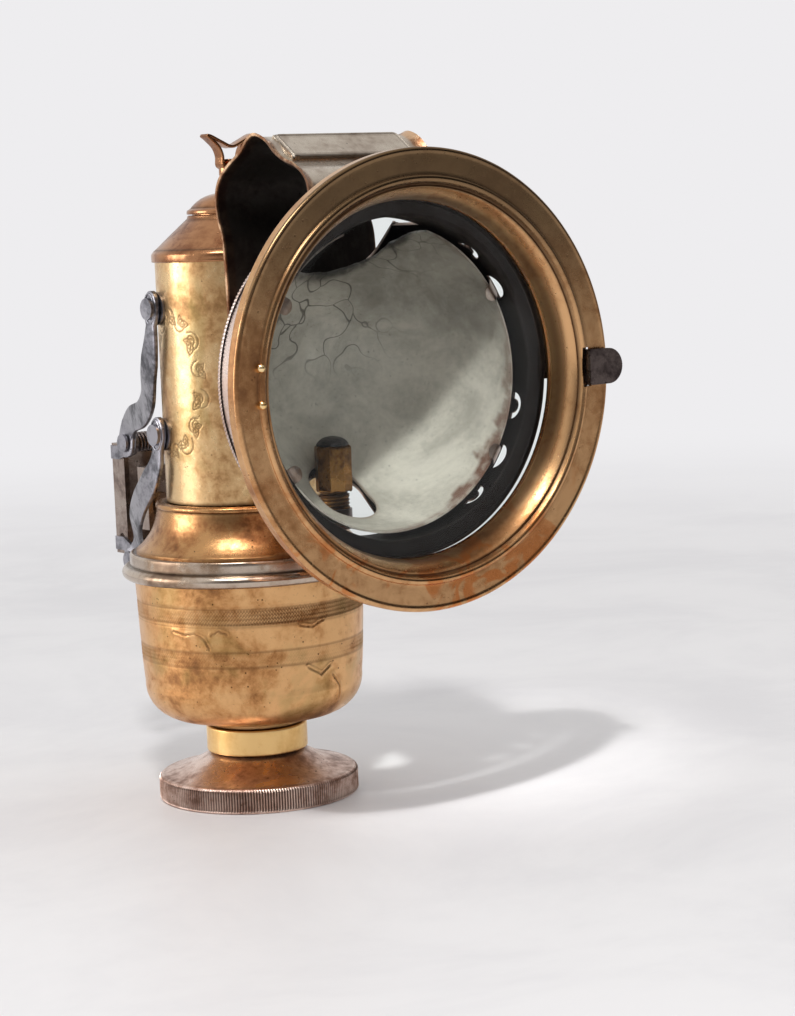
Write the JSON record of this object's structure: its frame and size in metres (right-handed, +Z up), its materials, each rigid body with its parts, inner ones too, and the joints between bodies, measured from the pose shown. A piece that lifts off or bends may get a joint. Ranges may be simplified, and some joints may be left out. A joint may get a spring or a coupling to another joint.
{
  "type": "bicycle carbide lamp",
  "caption": "Brass bicycle carbide lamp: gas generator with screw foot, water tank, round glazed lamp head with hood and a sprung parallel-strap bracket clamp.",
  "frame": {"origin": "middle of the foot's flat underside", "axes": "+Z up along the tank, the lamp shines towards -Y, +X to the right seen from the front"},
  "size_m": [0.1203, 0.1587, 0.1868],
  "materials": {
    "nickel_worn": "worn satin nickel plate",
    "rubber_black": "matt",
    "felt_grey": "felt",
    "brass_polished": "polished",
    "brass_plain": "dull",
    "brass_satin": "satin",
    "brass_aged": "mottled",
    "brass_burnt": "heat stained",
    "brass_bezel": "worn plate over brass",
    "steel_dark": "dark",
    "ceramic_burnt": "sooted",
    "nickel_sooty": "sooty nickel plate",
    "bowl_paint": "old flat paint",
    "nickel_warm": "warm nickel plate",
    "iron_dark": "dark",
    "tin": "tinned",
    "copper_brown": "worn",
    "lens_glass": "clear",
    "steel_plated": "worn plate"
  },
  "bodies": {
    "lamp": {"head_rim": "nickel_worn", "head_gasket": "rubber_black", "gas_filter": "felt_grey", "shoulder": "brass_polished", "tank": "brass_polished", "tank_floor": "brass_plain", "tank_cap": "brass_polished", "valve_body": "brass_plain", "drip_tube": "brass_plain", "tube_nut": "brass_plain", "gas_pipe": "brass_plain", "burner_socket": "steel_dark", "burner": "brass_burnt", "burner_tip": "ceramic_burnt", "drum": "nickel_sooty", "reflector_clips": "nickel_sooty", "back_shell": "nickel_sooty", "reflector": "bowl_paint", "saddle_block": "brass_plain", "hood": "nickel_warm", "hood_plate": "nickel_warm", "hinge_leaf_fixed": "brass_plain", "hinge_pin": "steel_dark", "side_lugs": "iron_dark", "pivot_rivets": "iron_dark"},
    "cup": {"cup": "brass_aged", "carbide_basket": "tin"},
    "collar": {"foot_collar": "brass_satin"},
    "foot": {"foot_disc": "copper_brown"},
    "filler": {"filler_lid": "brass_polished"},
    "valve_stem": {"valve_rod": "brass_plain"},
    "valve_grip": {"valve_handle": "brass_plain", "handle_nut": "brass_plain"},
    "door": {"bezel": "brass_bezel", "lens_glass": "lens_glass", "glass_ring": "brass_bezel", "hinge_leaf_door": "brass_plain", "door_rivets": "nickel_worn", "latch_pin": "steel_dark"},
    "latch_spring": {"latch": "steel_dark"},
    "upper_links": {"upper_strap_left": "iron_dark", "upper_strap_right": "iron_dark"},
    "lower_links": {"lower_strap_left": "iron_dark", "lower_strap_right": "iron_dark"},
    "clamp": {"outer_jaw": "steel_plated", "clamp_cheeks": "iron_dark", "clamp_pins": "iron_dark", "bracket_springs": "iron_dark"},
    "jaw": {"inner_jaw": "steel_plated"},
    "screw": {"clamp_screw": "steel_dark"}
  },
  "joints": [
    {"name": "cup_drop", "type": "slide", "parent": "lamp", "child": "cup", "axis": [0, 0, -1], "range_m": [0, 0.07]},
    {"name": "foot_travel", "type": "slide", "parent": "cup", "child": "collar", "axis": [0, 0, -1], "range_m": [0, 0.0036]},
    {"name": "foot_turn", "type": "hinge", "parent": "collar", "child": "foot", "pos_m": [0, 0, 0], "axis": [0, 0, -1], "range_deg": [0, 864]},
    {"name": "filler_lift", "type": "slide", "parent": "lamp", "child": "filler", "axis": [0, 0, 1], "range_m": [0, 0.0045]},
    {"name": "valve_rise", "type": "slide", "parent": "lamp", "child": "valve_stem", "axis": [0, 0, 1], "range_m": [0, 0.0015]},
    {"name": "valve_turn", "type": "hinge", "parent": "valve_stem", "child": "valve_grip", "pos_m": [0, 0, 0.176], "axis": [0, 0, 1], "range_deg": [0, 540]},
    {"name": "door_swing", "type": "hinge", "parent": "lamp", "child": "door", "pos_m": [-0.0489, -0.0792, 0.123], "axis": [0, 0, -1], "range_deg": [0, 110]},
    {"name": "latch_flex", "type": "hinge", "parent": "door", "child": "latch_spring", "pos_m": [0.0529, -0.0867, 0.1207], "axis": [0, 0, -1], "range_deg": [0, 10], "stiffness_Nm_per_rad": 0.05},
    {"name": "upper_swing", "type": "hinge", "parent": "lamp", "child": "upper_links", "pos_m": [0, 0.0065, 0.1394], "axis": [1, 0, 0], "range_deg": [-1, 12], "stiffness_Nm_per_rad": 2},
    {"name": "lower_swing", "type": "hinge", "parent": "lamp", "child": "lower_links", "pos_m": [0, 0.0065, 0.1044], "axis": [1, 0, 0], "range_deg": [-1, 12]},
    {"name": "clamp_level", "type": "hinge", "parent": "upper_links", "child": "clamp", "pos_m": [0, 0.05, 0.0986], "axis": [1, 0, 0], "range_deg": [-12, 1]},
    {"name": "jaw_slide", "type": "slide", "parent": "clamp", "child": "jaw", "axis": [0, 1, 0], "range_m": [0, 0.005]},
    {"name": "screw_turn", "type": "hinge", "parent": "clamp", "child": "screw", "pos_m": [0, 0.06, 0.0798], "axis": [0, -1, 0], "range_deg": [0, 2250]}
  ],
  "couplings": [
    {"joint": "foot_turn", "follows": "foot_travel", "rad_per_m": 4188.8},
    {"joint": "valve_turn", "follows": "valve_rise", "rad_per_m": 6283.2},
    {"joint": "lower_swing", "follows": "upper_swing", "ratio": 1},
    {"joint": "clamp_level", "follows": "upper_swing", "ratio": -1},
    {"joint": "screw_turn", "follows": "jaw_slide", "rad_per_m": 7854}
  ]
}
